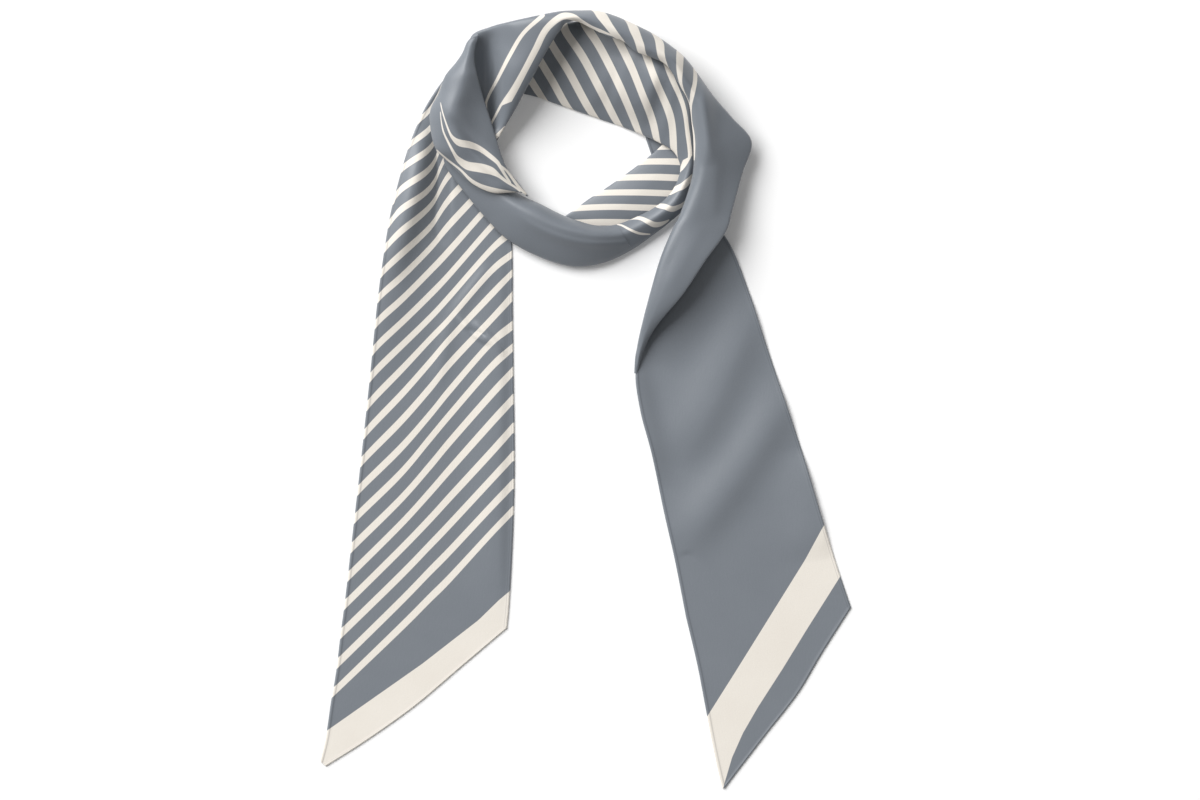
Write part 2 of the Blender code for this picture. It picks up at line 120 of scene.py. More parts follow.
# Rolled stretches. in and out are the silhouettes on the hole's side and on the far side; lean is
# where the crest lies between them; tuck is how far the cloth turns under, and under at what height.
ROLL_COLUMNS = (
    "in_x", "in_y", "out_x", "out_y",
    "tuck_in", "under_in", "in_z", "lean", "crest_z", "out_z", "tuck_out", "under_out",
)
TWIST_ROW, BACK_ROW = 8, 14  # rows of FIRST_TURN where one stretch becomes the next
OUTER_ROW, SHOULDER_ROW = 8, 16  # the same in SECOND_TURN
FIRST_TURN = (
    # the front band, from the left
    (-74.0, 176.0, -95.0, 166.0, 6.0, 5.5, 8.0, 0.40, 11.0, 8.0, 6.0, 5.0),
    (-65.0, 163.5, -92.0, 154.5, 7.0, 5.5, 8.5, 0.40, 12.0, 8.0, 7.0, 4.5),
    (-58.0, 150.5, -81.7, 140.3, 8.0, 4.0, 8.5, 0.38, 13.5, 7.5, 8.0, 3.6),
    (-47.5, 138.5, -67.0, 122.3, 8.0, 3.0, 8.5, 0.34, 15.5, 6.5, 8.0, 2.6),
    (-29.7, 129.7, -50.3, 106.3, 9.0, 2.0, 9.5, 0.28, 19.0, 7.0, 8.0, 2.2),
    (-17.0, 123.3, -27.0, 94.3, 9.0, 3.0, 9.0, 0.27, 20.0, 6.5, 8.0, LOW),
    (-5.7, 119.0, -7.0, 89.3, 7.0, 5.5, 9.5, 0.27, 20.0, 6.0, 8.0, LOW),
    (7.0, 115.7, 12.3, 91.7, 6.0, 6.0, 9.5, 0.30, 18.5, 5.5, 7.0, LOW),
    (21.0, 116.3, 31.0, 100.3, 4.0, 6.0, 9.0, 0.40, 14.5, 4.5, 6.0, 0.8),
    # the twist, from TWIST_ROW
    (36.3, 122.3, 46.3, 111.0, 3.0, 6.0, 9.0, 0.45, 13.5, 5.5, 5.0, 1.5),
    (46.3, 127.7, 55.7, 118.3, 3.0, 6.0, 9.0, 0.45, 13.5, 6.0, 4.0, 2.0),
    (55.0, 135.0, 65.0, 127.0, 3.0, 6.0, 9.0, 0.45, 13.5, 6.0, 3.5, 2.0),
    (60.3, 143.0, 70.5, 138.8, 3.0, 6.0, 9.0, 0.45, 13.5, 6.0, 3.5, 2.0),
    (63.3, 151.7, 74.3, 151.7, 3.0, 6.0, 9.0, 0.50, 14.0, 7.0, 4.0, 2.5),
    (63.0, 158.3, 75.5, 165.0, 3.0, 6.0, 9.0, 0.55, 15.0, 9.0, 5.0, 4.0),
    # the back, from BACK_ROW
    (58.0, 166.7, 74.5, 183.0, 3.0, 6.4, 9.0, 0.60, 18.0, 14.0, 6.0, 6.0),
    (45.7, 174.6, 70.0, 203.0, 3.0, 4.0, 6.4, 0.75, 23.0, 20.0, 6.0, 10.0),
    (27.7, 183.0, 57.7, 222.3, 3.0, LOW, 3.0, 0.78, 24.5, 21.5, 6.0, 11.0),
    (9.7, 189.7, 40.5, 235.5, 3.0, LOW, 2.6, 0.80, 22.0, 19.0, 7.0, 8.0),
    (-16.3, 199.0, 18.5, 248.0, 3.0, LOW, 2.8, 0.80, 17.5, 15.0, 7.0, 6.0),
    (-32.3, 204.3, -6.0, 251.5, 3.0, LOW, 2.8, 0.80, 12.0, 10.0, 7.0, 4.0),
    (-47.0, 206.3, -31.0, 246.0, 3.0, LOW, 2.8, 0.78, 9.0, 7.0, 7.0, 2.5),
    (-58.0, 204.5, -60.0, 234.0, 3.0, LOW, 2.8, 0.70, 6.0, 4.5, 6.0, 1.6),
    (-65.4, 201.5, -80.4, 227.5, 3.0, LOW, 2.8, 0.60, 4.2, 3.4, 4.0, 1.0),
)
SECOND_TURN = (
    # the flap
    (-61.0, 169.0, -75.0, 196.0, 4.0, 12.6, 15.0, 0.35, 16.5, 13.0, 3.0, 10.5),
    (-55.3, 179.5, -77.0, 210.0, 6.0, 13.5, 17.5, 0.30, 20.0, 14.0, 3.0, 11.0),
    (-46.3, 194.3, -76.0, 224.0, 8.0, 16.0, 22.0, 0.28, 26.5, 18.0, 3.0, 14.0),
    (-40.3, 205.7, -74.5, 240.0, 9.0, 20.0, 26.5, 0.28, 31.5, 23.0, 3.0, 18.0),
    (-35.0, 215.0, -62.5, 246.5, 9.0, 24.0, 29.5, 0.30, 34.5, 26.5, 4.0, 19.0),
    (-28.3, 227.7, -50.5, 250.3, 9.0, 28.0, 33.0, 0.32, 37.5, 34.0, 5.0, 21.0),
    (-21.7, 239.0, -37.5, 253.6, 7.0, 31.0, 35.5, 0.36, 39.5, 36.8, 6.0, 18.0),
    (-17.0, 245.5, -26.0, 256.2, 4.0, 33.0, 37.0, 0.42, 40.5, 36.0, 6.0, 15.0),
    (-13.5, 250.0, -15.5, 258.0, 2.5, 34.0, 37.0, 0.45, 40.5, 33.0, 6.0, 12.0),
    # the outside of the back, from OUTER_ROW
    (-5.7, 251.6, -4.5, 258.5, 2.5, 34.0, 37.0, 0.45, 40.0, 28.0, 4.5, 10.0),
    (4.3, 247.0, 7.7, 258.3, 2.5, 34.5, 37.0, 0.50, 40.0, 27.0, 5.0, 5.5),
    (15.0, 241.7, 20.3, 254.7, 2.5, 34.5, 37.0, 0.50, 39.5, 26.0, 6.0, 3.0),
    (24.3, 239.0, 33.0, 249.0, 2.5, 34.0, 36.5, 0.45, 39.0, 26.0, 6.0, 2.0),
    (33.7, 231.7, 45.0, 243.0, 2.5, 33.0, 35.5, 0.45, 38.0, 25.0, 6.0, 2.0),
    (44.3, 227.7, 55.0, 236.3, 2.5, 31.5, 34.0, 0.45, 37.0, 24.0, 6.0, 2.0),
    (54.3, 222.3, 65.0, 228.3, 2.5, 30.0, 33.0, 0.45, 35.5, 22.0, 6.0, 2.0),
    (63.0, 209.0, 73.7, 217.7, 2.5, 27.0, 30.5, 0.42, 33.0, 18.0, 6.0, 2.0),
    # the shoulder, from SHOULDER_ROW
    (69.0, 197.7, 85.0, 201.7, 3.0, 23.0, 26.0, 0.36, 30.5, 20.0, 6.0, 10.0),
    (71.0, 184.3, 97.0, 187.2, 4.0, 20.3, 22.5, 0.27, 28.5, 17.5, 5.0, 13.5),
    (72.3, 169.7, 109.0, 171.5, 5.0, 15.5, 20.0, 0.23, 27.0, 14.0, 4.0, 11.2),
    (71.4, 148.7, 103.2, 150.5, 5.0, 11.0, 19.0, 0.25, 26.0, 15.0, 4.0, 12.2),
    (63.7, 124.3, 96.6, 126.3, 5.0, 6.5, 20.5, 0.28, 25.5, 18.5, 4.0, 15.6),
    (58.7, 114.3, 92.0, 111.7, 5.0, 4.6, 21.0, 0.28, 25.0, 20.5, 4.0, 17.6),
    (50.3, 94.3, 79.0, 93.0, 5.0, 3.2, 20.5, 0.30, 23.8, 21.0, 3.0, 18.4),
    (43.0, 69.7, 64.3, 70.3, 5.0, 3.6, 17.0, 0.34, 20.5, 18.5, 3.0, 15.8),
    (37.0, 46.3, 47.0, 49.0, 3.0, 4.0, 10.6, 0.42, 13.8, 12.6, 2.5, 10.0),
    (34.1, 31.0, 38.2, 32.4, 1.2, 4.0, 5.4, 0.50, 7.6, 6.4, 1.2, 5.2),
    (33.0, 17.5, 34.2, 18.0, 0.3, 2.4, 2.9, 0.50, 3.3, 2.9, 0.3, 2.4),
)
INNER_TURN = (
    (54.0, 172.0, 68.0, 170.5, 2.0, 2.2, 3.6, 0.50, 3.8, 3.6, 2.0, 2.2),
    (48.3, 166.3, 68.3, 161.0, 2.5, 2.2, 3.8, 0.50, 4.4, 3.8, 2.0, 2.2),
    (39.7, 159.0, 65.8, 149.0, 3.0, 1.9, 4.0, 0.45, 5.4, 3.6, 2.0, 2.2),
    (27.7, 149.7, 60.5, 137.0, 3.0, 0.8, 4.0, 0.45, 6.2, 3.4, 2.0, 2.2),
    (15.0, 140.7, 51.5, 127.0, 3.0, LOW, 4.0, 0.45, 6.4, 3.4, 2.0, 2.0),
    (3.0, 133.0, 39.5, 119.5, 3.0, LOW, 3.6, 0.45, 6.0, 3.0, 2.0, 1.6),
    (-6.3, 126.3, 24.0, 113.0, 3.0, LOW, 3.0, 0.45, 4.6, 2.6, 2.0, 1.2),
    (-13.0, 121.7, 10.0, 110.0, 2.5, LOW, 2.2, 0.45, 2.8, 2.0, 2.0, 0.8),
    (-16.5, 118.0, -2.0, 109.0, 2.0, LOW, 1.6, 0.45, 1.8, 1.5, 1.5, 0.6),
)
LEFT_TURN = (
    (-38.3, 135.4, -43.5, 139.0, 1.5, 14.5, 16.5, 0.50, 19.0, 18.2, 1.5, 17.0),
    (-45.7, 145.0, -61.2, 138.0, 3.0, 15.5, 18.0, 0.45, 22.5, 18.8, 3.0, 17.0),
    (-52.3, 153.0, -76.8, 145.4, 4.0, 15.8, 19.5, 0.42, 25.5, 18.6, 4.0, 15.6),
    (-56.3, 161.7, -90.0, 157.6, 5.0, 16.6, 20.0, 0.50, 29.0, 17.0, 5.0, 13.6),
    (-59.7, 171.7, -99.0, 167.0, 5.0, 17.6, 20.5, 0.54, 31.5, 19.0, 5.0, 12.0),
    (-63.0, 182.3, -102.7, 181.7, 5.0, 18.6, 21.5, 0.58, 32.5, 20.0, 6.0, 12.0),
    (-66.3, 193.0, -102.5, 193.0, 5.0, 20.0, 23.0, 0.56, 33.5, 21.5, 6.0, 13.0),
    (-69.7, 204.3, -97.0, 204.0, 4.0, 22.5, 26.0, 0.50, 34.0, 24.0, 5.0, 14.0),
    (-72.3, 214.3, -93.0, 215.0, 3.0, 24.5, 28.0, 0.44, 33.0, 25.0, 5.0, 16.0),
    (-74.0, 223.0, -85.7, 224.3, 2.5, 25.0, 27.4, 0.48, 31.2, 25.5, 4.0, 18.5),
    (-74.3, 229.7, -81.5, 230.6, 2.0, 23.8, 25.9, 0.50, 28.6, 25.0, 2.5, 20.5),
    (-73.4, 235.2, -78.6, 237.4, 1.6, 22.6, 23.8, 0.50, 25.6, 23.8, 2.0, 22.0),
    (-72.4, 239.4, -75.0, 240.8, 1.0, 24.3, 24.7, 0.50, 25.3, 24.7, 1.2, 24.3),
    (-71.2, 242.2, -71.6, 242.8, 0.2, 25.5, 25.7, 0.50, 25.8, 25.7, 0.2, 25.5),
)

# Folds and creases: a line in plan, its height at both ends (a trough is below nought), how wide it
# falls away on its left and right, and how far its middle bows to its right. The columns are
# x0, y0, x1, y1, height0, height1, left_width, right_width, bow.
TAIL_STRIPED_FOLDS = (
    (-103.7, 176.0, -141.0, 3.0, 8.5, 1.5, 19.0, 15.0, 5.5),
    (-108.0, 192.0, -133.0, 73.0, 9.5, 3.0, 9.0, 12.0, -4.0),
    (-94.0, 186.0, -97.0, 98.0, -4.5, -2.5, 5.0, 8.0, 0.0),
    # the right side, rounding down to its hem, and the crumpled patch beside it
    (-57.0, 120.0, -57.5, -160.0, 1.6, 1.8, 5.0, 18.0, 0.0),
    (-62.0, 92.0, -92.0, 52.0, 1.0, 0.9, 5.0, 4.0, 0.0),
    (-88.0, 62.0, -100.0, 4.0, 0.8, 0.8, 5.0, 6.0, 0.0),
    (-87.0, 58.0, -62.0, 36.0, 1.4, 1.6, 2.6, 2.0, 2.0),
    (-76.0, 53.0, -54.0, 28.0, 1.2, 1.0, 2.0, 2.4, -2.0),
    (-80.0, 48.0, -66.0, 42.0, -0.9, -0.9, 1.8, 1.8, 0.0),
)
TAIL_PLAIN_FOLDS = (
    (98.0, 128.0, 38.0, 26.0, 6.0, 4.5, 20.0, 12.0, 0.0),
    (114.0, 74.0, 59.0, -47.0, 3.8, 3.4, 14.0, 22.0, -5.0),
    (143.0, 17.0, 57.0, -107.0, 3.6, 3.4, 13.0, 18.0, -4.0),
    # the left hem, a little raised, the swell by the right hem, and the soft dents by the left hem
    (26.5, 45.0, 49.0, -62.0, 3.0, 2.4, 9.0, 5.0, 0.0),
    (151.0, -30.0, 160.0, -108.0, 2.4, 2.0, 5.0, 22.0, 0.0),
    (66.0, -100.0, 74.0, -122.0, -0.7, -0.7, 4.0, 4.0, 0.0),
    (72.0, -130.0, 79.0, -152.0, -0.6, -0.6, 4.0, 4.0, 0.0),
    (77.0, -160.0, 84.0, -180.0, -0.5, -0.5, 4.0, 4.0, 0.0),
)
COLLAR_FLAP_FOLDS = ((-65.8, 248.0, -62.5, 174.0, -17.5, -13.0, 7.0, 8.5, 0.0),)
COLLAR_LEFT_FOLDS = (
    (-80.0, 218.0, -68.0, 150.0, -3.6, -3.2, 11.0, 11.0, 0.0),
    (-92.0, 190.0, -56.0, 151.0, -2.2, -2.6, 3.5, 4.5, 0.0),
    (-96.0, 178.0, -56.0, 140.5, -2.0, -2.4, 3.5, 4.0, 0.0),
)
COLLAR_BACK_FOLDS = (
    (24.0, 188.0, 54.0, 223.0, 5.0, 5.0, 20.0, 11.0, 0.0),
    # uneven drape across the back
    (-2.0, 190.0, 20.0, 230.0, 1.3, 1.3, 6.0, 6.0, 2.0),
    (18.0, 186.0, 33.0, 236.0, 1.2, 1.2, 4.0, 6.0, -2.0),
    (36.0, 180.0, 48.0, 230.0, 1.1, 1.1, 5.0, 4.0, 2.0),
    (51.0, 172.0, 60.0, 216.0, 1.0, 1.0, 4.0, 4.0, 0.0),
)
COLLAR_FRONT_FOLDS = (
    (-60.0, 138.0, 40.0, 116.0, 1.2, 1.2, 4.0, 8.0, 15.0),
    (-48.0, 125.0, 46.0, 110.0, 1.1, 1.1, 2.2, 3.0, 13.0),
    (-70.0, 150.0, 10.0, 116.0, 0.8, 0.8, 4.0, 5.0, 6.0),
)
SHOULDER_FOLDS = (
    (78.0, 218.0, 83.0, 154.0, 3.8, 3.0, 5.0, 5.0, 0.0),
    (92.0, 112.0, 46.0, 36.0, 2.8, 4.6, 5.0, 18.0, 0.0),
    (88.0, 176.0, 84.0, 116.0, 1.2, 1.0, 5.0, 7.0, 0.0),
    (80.0, 120.0, 52.0, 70.0, 0.6, 0.6, 5.0, 6.0, 0.0),
)

# Where the middle of each stripe of the striped end runs: how high it is at its left edge, and in plan at
# the columns' places across; rounded is the cloth that the left side's curve takes up.
END_MARKS = (-123.7, -103.7, -90.3, -63.7, -48.5)
MARK_GAP = 3  # the least from the left edge's mark to the next
CURVE = 4  # how far in from the left edge the side's curve reaches
END_STRIPE_COLUMNS = ("stripe", "left_y", "y_124", "y_104", "y_90", "y_64", "right_y", "rounded")
END_STRIPES = (
    (-3, -255.0, -236.0, -219.0, -209.0, -177.0, -160.0, 0.0),
    (-1, -212.0, -170.0, -150.0, -136.6, -104.6, -88.6, 0.0),
    (0, -196.0, -152.3, -132.3, -119.0, -90.3, -74.3, 0.0),
    (1, -176.3, -135.0, -114.3, -100.7, -72.3, -56.3, 0.0),
    (2, -156.3, -117.7, -97.0, -83.0, -54.3, -37.7, 0.0),
    (3, -137.0, -100.3, -79.7, -65.0, -36.3, -19.0, 0.0),
    (4, -118.3, -83.7, -61.7, -46.3, -16.3, 0.3, 0.0),
    (5, -99.0, -67.0, -44.3, -28.0, 2.3, 19.0, 0.3),
    (6, -79.0, -49.7, -25.7, -9.7, 21.0, 35.0, 0.6),
    (7, -60.3, -33.0, -10.3, 6.3, 37.0, 49.0, 0.8),
    (8, -41.0, -15.0, 7.7, 24.3, 52.3, 69.7, 1.0),
    (9, -22.3, 2.3, 25.0, 41.0, 69.0, 85.0, 1.3),
    (10, -3.0, 19.0, 40.3, 54.0, 85.0, 97.0, 1.6),
    (11, 16.3, 35.0, 54.3, 69.0, 99.0, 112.3, 1.9),
    (12, 34.3, 50.3, 69.7, 83.7, 114.3, 129.7, 2.2),
    (13, 52.3, 65.7, 85.7, 99.7, 129.7, 143.7, 2.5),
    (14, 69.7, 81.0, 101.0, 117.0, 145.0, 159.7, 2.7),
    (15, 86.3, 96.3, 115.0, 134.3, 161.7, 175.0, 2.7),
    (16, 103.0, 111.7, 129.0, 150.3, 177.0, 191.0, 2.7),
    (17, 119.0, 126.3, 141.0, 166.3, 192.3, 206.3, 2.7),
    (18, 134.3, 140.3, 154.3, 180.3, 207.7, 221.7, 2.7),
    (19, 149.0, 155.0, 167.7, 193.7, 222.3, 236.3, 2.7),
    (20, 163.0, 168.3, 181.0, 207.0, 236.3, 250.3, 2.7),
    (21, 177.0, 182.3, 194.3, 220.3, 250.3, 264.3, 2.7),
    (22, 190.3, 195.7, 207.7, 233.7, 264.3, 278.3, 2.7),
    (23, 203.0, 209.0, 221.0, 247.0, 278.3, 292.3, 2.7),
    (24, 215.7, 222.3, 234.3, 260.3, 292.3, 306.3, 2.7),
)

# The stripe's number at the near silhouette, the crest and the far silhouette of each section. Only the
# back, the outer turn and the inner turn are printed by it. The sections beyond them repeat one value,
# and the first of those sets the slope where they meet.
FIRST_STRIPES = 14 * ((6.8, 7.1, 8.25),) + (
    (6.35, 7.0, 8.6),
    (5.9, 6.95, 8.8),
    (4.85, 6.86, 8.85),
    (3.48, 6.42, 7.54),
    (2.35, 5.45, 6.3),
    (0.88, 4.27, 5.22),
    (-0.1, 3.0, 3.75),
    (-1.05, 1.26, 1.8),
    (-1.75, -0.3, 0.3),
    (-2.3, -1.6, -1.2),
)
SECOND_STRIPES = 8 * ((3.5, 3.5, 3.5),) + (
    (3.3, 3.6, 4.0),
    (3.6, 4.05, 4.5),
    (4.0, 4.65, 5.0),
    (4.55, 5.15, 5.6),
    (5.05, 5.68, 6.2),
    (5.7, 6.22, 6.93),
    (6.4, 6.95, 7.5),
    (7.1, 7.7, 8.1),
    (7.9, 8.3, 8.6),
) + 11 * ((9.5, 9.5, 9.5),)
INNER_STRIPES = (
    (-0.35, -0.3, -0.2),
    (0.2, 0.5, 0.75),
    (0.93, 1.4, 1.87),
    (1.8, 2.4, 3.03),
    (2.68, 3.35, 4.07),
    (3.45, 4.15, 4.85),
    (4.1, 4.8, 5.5),
    (4.6, 5.15, 5.8),
    (5.0, 5.45, 5.9),
)

# Stripes placed one by one: x and y down the middle of each in plan, and its width there.
BROAD_STRIPE = (
    (23.0, 240.2, 0.6), (16.0, 242.8, 1.2), (9.7, 245.3, 2.0), (3.0, 247.7, 3.0),
    (-5.0, 252.2, 3.8), (-10.3, 254.6, 4.0), (-17.0, 253.8, 4.2), (-26.3, 245.8, 4.2),
    (-33.0, 233.0, 4.2), (-40.0, 219.7, 4.0), (-47.3, 206.3, 4.6), (-53.0, 197.0, 5.4),
    (-57.0, 190.0, 5.4),
)
BROAD_STRIPE_FOOT = ((-70.0, 184.0), (-56.5, 195.2), (-49.0, 198.4), (-40.0, 203.0))  # the line it ends at
FLAP_STRIPES = (
    (
        (-28.3, 255.0, 2.6), (-41.0, 243.7, 2.6), (-49.7, 229.7, 2.6), (-57.7, 214.3, 2.2),
        (-65.7, 199.7, 1.8), (-66.3, 193.0, 1.4),
    ),
    ((-56.0, 196.0, 1.6), (-58.3, 191.7, 1.6), (-63.0, 183.0, 1.4)),
    ((-53.7, 181.7, 1.2), (-57.0, 177.5, 2.2), (-60.3, 174.3, 2.4)),
)
LEFT_STRIPES = (
    (
        (-96.3, 197.7, 0.5), (-95.0, 191.7, 0.7), (-93.0, 185.0, 0.9), (-90.3, 177.7, 1.3),
        (-87.7, 173.7, 2.4), (-83.7, 170.8, 4.2), (-77.0, 169.3, 4.4), (-70.3, 166.7, 3.8),
        (-63.7, 162.0, 3.2), (-59.0, 158.0, 2.6), (-57.0, 155.0, 2.2), (-54.3, 150.3, 1.8),
        (-50.3, 144.3, 1.4),
    ),
    (
        (-96.3, 191.7, 0.5), (-95.7, 185.0, 0.7), (-94.3, 178.3, 1.0), (-91.7, 172.3, 1.3),
        (-89.0, 167.0, 1.6), (-86.3, 162.3, 2.2), (-83.7, 159.3, 3.6), (-80.3, 156.7, 4.8),
        (-77.0, 155.3, 5.6), (-70.3, 154.2, 6.0), (-63.7, 152.5, 5.0), (-60.3, 150.7, 3.6),
        (-57.0, 148.3, 2.2), (-52.3, 144.7, 1.8), (-47.7, 141.7, 1.4), (-43.7, 138.7, 1.0),
    ),
    (
        (-99.0, 166.3, 0.8), (-91.7, 159.9, 1.2), (-83.0, 153.0, 1.4), (-77.0, 146.9, 2.0),
        (-71.0, 142.7, 3.0), (-64.3, 140.2, 3.4), (-55.0, 138.5, 2.8), (-44.3, 137.4, 1.8),
    ),
    (
        (-57.0, 155.7, 1.4), (-52.3, 151.7, 1.6), (-48.3, 146.3, 1.8), (-44.3, 141.0, 2.0),
        (-40.0, 136.7, 1.4),
    ),
)
TWIST_STRIPES = (
    (
        (21.0, 116.3, 0.6), (24.3, 115.7, 1.2), (29.7, 113.0, 1.5), (36.3, 110.7, 1.6),
        (43.0, 110.3, 0.8),
    ),
    (
        (27.7, 119.5, 0.8), (33.0, 120.6, 1.8), (37.3, 120.3, 2.6), (41.7, 118.3, 3.2),
        (45.7, 116.7, 3.6), (49.7, 117.0, 3.0), (53.7, 118.7, 1.6), (55.5, 120.0, 0.6),
    ),
    (
        (47.0, 129.0, 2.0), (49.7, 128.7, 3.2), (53.0, 128.3, 3.6), (57.7, 127.0, 3.6),
        (63.0, 129.0, 2.6), (66.3, 132.0, 1.2),
    ),
    (
        (56.5, 137.5, 3.0), (61.0, 140.3, 3.8), (65.0, 142.3, 4.0), (69.7, 147.0, 3.4),
        (71.3, 149.5, 2.0),
    ),
    (
        (63.3, 151.7, 0.8), (65.0, 155.0, 2.8), (67.0, 159.0, 3.8), (69.0, 163.7, 3.8),
        (70.0, 168.3, 3.4), (70.0, 173.0, 3.0), (69.7, 178.3, 2.8), (69.4, 182.0, 2.8),
    ),
    ((57.7, 169.7, 2.6), (59.7, 165.7, 2.0), (61.3, 161.7, 0.8)),
)
SHOULDER_STRIPES = (
    (
        (63.2, 236.0, 4.6), (62.7, 229.0, 5.0), (62.5, 223.0, 4.6), (62.7, 217.0, 3.5),
        (63.5, 210.8, 2.0), (65.6, 205.2, 0.9), (68.5, 199.1, 0.5), (69.6, 195.7, 0.3),
    ),
    (
        (72.0, 222.0, 1.2), (72.8, 216.0, 2.6), (72.6, 211.0, 2.8), (71.6, 205.7, 3.0),
        (70.9, 200.7, 2.5), (70.3, 195.7, 1.7), (70.4, 190.0, 1.2), (70.9, 184.0, 1.2),
        (71.9, 178.0, 1.6), (72.6, 169.7, 1.6), (72.6, 159.7, 1.0),
    ),
)

# The cream borders across the two ends, by the lines they start and stop at.
STRIPED_BORDER = (
    (-48.0, -125.5), (-57.7, -133.7), (-71.3, -147.0), (-109.0, -176.3), (-173.7, -221.7),
    (-190.0, -233.0),
)
PLAIN_BORDER_TOP = (
    (164.0, -75.0), (159.3, -83.0), (146.3, -107.0), (121.0, -147.7), (100.7, -180.3), (81.3, -211.0),
    (70.0, -229.0),
)
PLAIN_BORDER_FOOT = (
    (176.0, -108.0), (170.0, -117.7), (147.7, -153.0), (131.3, -179.7), (115.0, -205.0),
    (105.0, -222.3), (97.7, -238.7), (92.0, -258.0), (88.0, -272.0),
)

# Tones of the cloth and its print.
SLATE = (0.187, 0.206, 0.231)
SLATE_DEEP = (0.168, 0.186, 0.210)
CREAM = (0.80, 0.757, 0.69)
CREAM_DEEP = (0.74, 0.69, 0.62)
STITCH_SHADE = (0.80, 0.80, 0.81)  # what the stitch line's shadow leaves of a tone


def spline(rows, places, corners=()):
    """A smooth curve through the rows: cubic pieces whose slope at a row is half the step across it.

    At an end or a corner the slope is the next step's own, so the curve may turn sharply there.
    """
    step = np.diff(rows, axis=0)
    slope_in = np.concatenate([step[:1], (step[:-1] + step[1:]) / 2, step[-1:]])
    slope_out = slope_in.copy()
    for row in corners:
        slope_in[row] = step[row - 1]
        slope_out[row] = step[row]
    first = np.clip(np.floor(places).astype(int), 0, len(rows) - 2)
    t = (places - first).reshape((-1,) + (1,) * (rows.ndim - 1))
    return (
        (2 * t**3 - 3 * t**2 + 1) * rows[first]
        + (t**3 - 2 * t**2 + t) * slope_out[first]
        + (3 * t**2 - 2 * t**3) * rows[first + 1]
        + (t**3 - t**2) * slope_in[first + 1]
    )


def column(table, columns, *names):
    """The named columns of a table, as one array with a row for each section."""
    return np.array([[row[columns.index(name)] for name in names] for row in table])


def paces(rows, step):
    """Places along a table of rows, in row numbers, about one step of length apart, with all rows on."""
    lengths = np.linalg.norm(np.diff(rows, axis=0), axis=1)
    runs = [
        np.linspace(row, row + 1, max(2, round(length / step)) + 1)[:-1]
        for row, length in enumerate(lengths)
    ]
    return np.concatenate([*runs, [len(rows) - 1.0]])


def across_an_end(width):
    """Places from edge to edge, nought to one: closely spaced over both hems, evenly between them."""
    hem = np.array(HEM_PLACES)[None, :] / width[:, None]
    hem = hem * np.minimum(1, width / NARROW)[:, None]
    inner = np.linspace(0, 1, END_CELLS - 2 * hem.shape[1] + 3)[None, 1:-1]
    inner = hem[:, -1:] + inner * (1 - 2 * hem[:, -1:])
    return np.concatenate([hem, inner, 1 - hem[:, ::-1]], axis=1)


def end_middle(table):
    """The middle of a flat end: straight sections between its two long edges, which are splines."""
    corners = [i for i, row in enumerate(table) if row[END_COLUMNS.index("corner")]]
    edges = column(
        table, END_COLUMNS, "left_x", "left_y", "left_z", "right_x", "right_y", "right_z"
    )
    edges = spline(edges, paces(edges, END_STEP), corners)
    left, right = edges[:, None, :3], edges[:, None, 3:]
    t = across_an_end(np.linalg.norm(edges[:, 3:] - edges[:, :3], axis=1))[..., None]
    return left * (1 - t) + right * t


def roll_net(table, stripes):
    """Five points across each section: tucked edge, near silhouette, crest, far silhouette, tucked edge.

    The fourth number of each point is its stripe, carried on under the cloth at the same spacing.
    """
    near = column(table, ROLL_COLUMNS, "in_x", "in_y")
    far = column(table, ROLL_COLUMNS, "out_x", "out_y")
    width = np.linalg.norm(far - near, axis=1)
    get = {name: column(table, ROLL_COLUMNS, name)[:, 0] for name in ROLL_COLUMNS}
    places = (get["tuck_in"] / width, 0 * width, get["lean"], 0 * width + 1, 1 - get["tuck_out"] / width)
    heights = (get["under_in"], get["in_z"], get["crest_z"], get["out_z"], get["under_out"])
    first, crest, last = np.array(stripes).T
    rise_in = (crest - first) * get["tuck_in"] / (width * get["lean"])
    rise_out = (last - crest) * get["tuck_out"] / (width * (1 - get["lean"]))
    numbers = (first - rise_in, first, crest, last, last + rise_out)
    net = [
        np.column_stack([near + (far - near) * place[:, None], height, number])
        for place, height, number in zip(places, heights, numbers)
    ]
    return np.stack(net, axis=1)


def roll_middle(table, stripes):
    """The middle of a rolled stretch and its places along the table: splines both ways through its net."""
    net = roll_net(table, stripes)
    along = paces(net[:, 2, :3], ROLL_STEP)
    spans = (TUCK_CELLS, FACE_CELLS, FACE_CELLS, TUCK_CELLS)
    across = [np.linspace(i, i + 1, cells + 1)[:-1] for i, cells in enumerate(spans)]
    across = np.concatenate([*across, [4.0]])
    rails = spline(net, along)
    return np.swapaxes(spline(np.swapaxes(rails, 0, 1), across), 0, 1), along


def stretch(turn, places, first, last):
    """The part of a turn between two rows of its table, both rows included."""
    nearly = 1e-6
    return turn[(places > first - nearly) & (places < last + nearly)]


def folded(points, folds):
    """Lifts a surface along each line in plan, and nowhere lets it sink below LOW.

    The lift is the line's height times e to the power of minus the square of distance over width, and
    it fades to nothing at the line's two ends. The line bows by a parabola.
    """
    points = points.copy()
    for x0, y0, x1, y1, height0, height1, left_width, right_width, bow in folds:
        line = np.array([x1 - x0, y1 - y0])
        length = np.linalg.norm(line)
        line = line / length
        away = points[..., :2] - np.array([x0, y0])
        along = (away @ line) / length
        off = away[..., 0] * line[1] - away[..., 1] * line[0] - bow * 4 * along * (1 - along)
        width = np.where(off < 0, left_width, right_width)
        height = height0 + (height1 - height0) * np.clip(along, 0, 1)
        fade = np.clip(1 - (2 * along - 1) ** 4, 0, 1) ** 2
        points[..., 2] += height * np.exp(-((off / width) ** 2)) * fade
    points[..., 2] = np.maximum(points[..., 2], LOW)
    return points


